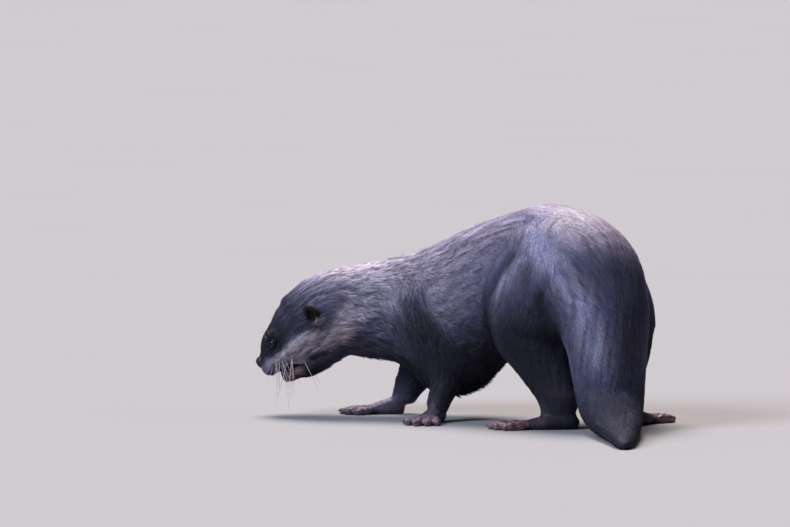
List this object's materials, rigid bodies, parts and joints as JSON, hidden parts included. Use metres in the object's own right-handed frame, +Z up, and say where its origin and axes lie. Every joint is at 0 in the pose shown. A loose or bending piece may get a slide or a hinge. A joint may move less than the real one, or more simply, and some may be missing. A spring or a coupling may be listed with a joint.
{
  "type": "asian small-clawed otter",
  "caption": "Life-size small-clawed river otter standing on all fours, back arched, head low, tail laid on the floor.",
  "frame": {"origin": "on the floor, under the middle of the otter's bounding box", "axes": "+Z up; the otter's head points towards -X with its left side towards -Y, and its rump and tail are turned towards -Y"},
  "size_m": [0.4404, 0.4352, 0.2307],
  "materials": {
    "coat": "short damp fur, grey-brown",
    "bare_skin": "naked wrinkled skin of the feet, pinkish brown",
    "nose": "damp dark skin",
    "eye": "wet dark eye",
    "claw": "horn"
  },
  "bodies": {
    "root": {"belly": "coat", "chest": "coat", "claw_forefoot_left_1": "claw", "claw_forefoot_left_2": "claw", "claw_forefoot_left_3": "claw", "claw_forefoot_left_4": "claw", "claw_forefoot_left_5": "claw", "claw_forefoot_right_1": "claw", "claw_forefoot_right_2": "claw", "claw_forefoot_right_3": "claw", "claw_forefoot_right_4": "claw", "claw_forefoot_right_5": "claw", "claw_hindfoot_left_1": "claw", "claw_hindfoot_left_2": "claw", "claw_hindfoot_left_3": "claw", "claw_hindfoot_left_4": "claw", "claw_hindfoot_left_5": "claw", "claw_hindfoot_right_1": "claw", "claw_hindfoot_right_2": "claw", "claw_hindfoot_right_3": "claw", "claw_hindfoot_right_4": "claw", "claw_hindfoot_right_5": "claw", "ear_left": "coat", "ear_right": "coat", "eye_left": "eye", "eye_right": "eye", "forefoot_left": "bare_skin", "forefoot_right": "bare_skin", "foreleg_left": "coat", "foreleg_right": "coat", "head": "coat", "hindfoot_left": "bare_skin", "hindfoot_right": "bare_skin", "lower_jaw": "coat", "neck": "coat", "nose": "nose", "rump": "coat", "shank_left": "coat", "shank_right": "coat", "tail_base": "coat", "tail_middle": "coat", "tail_tip": "coat", "thigh_left": "coat", "thigh_right": "coat"}
  },
  "joints": []
}
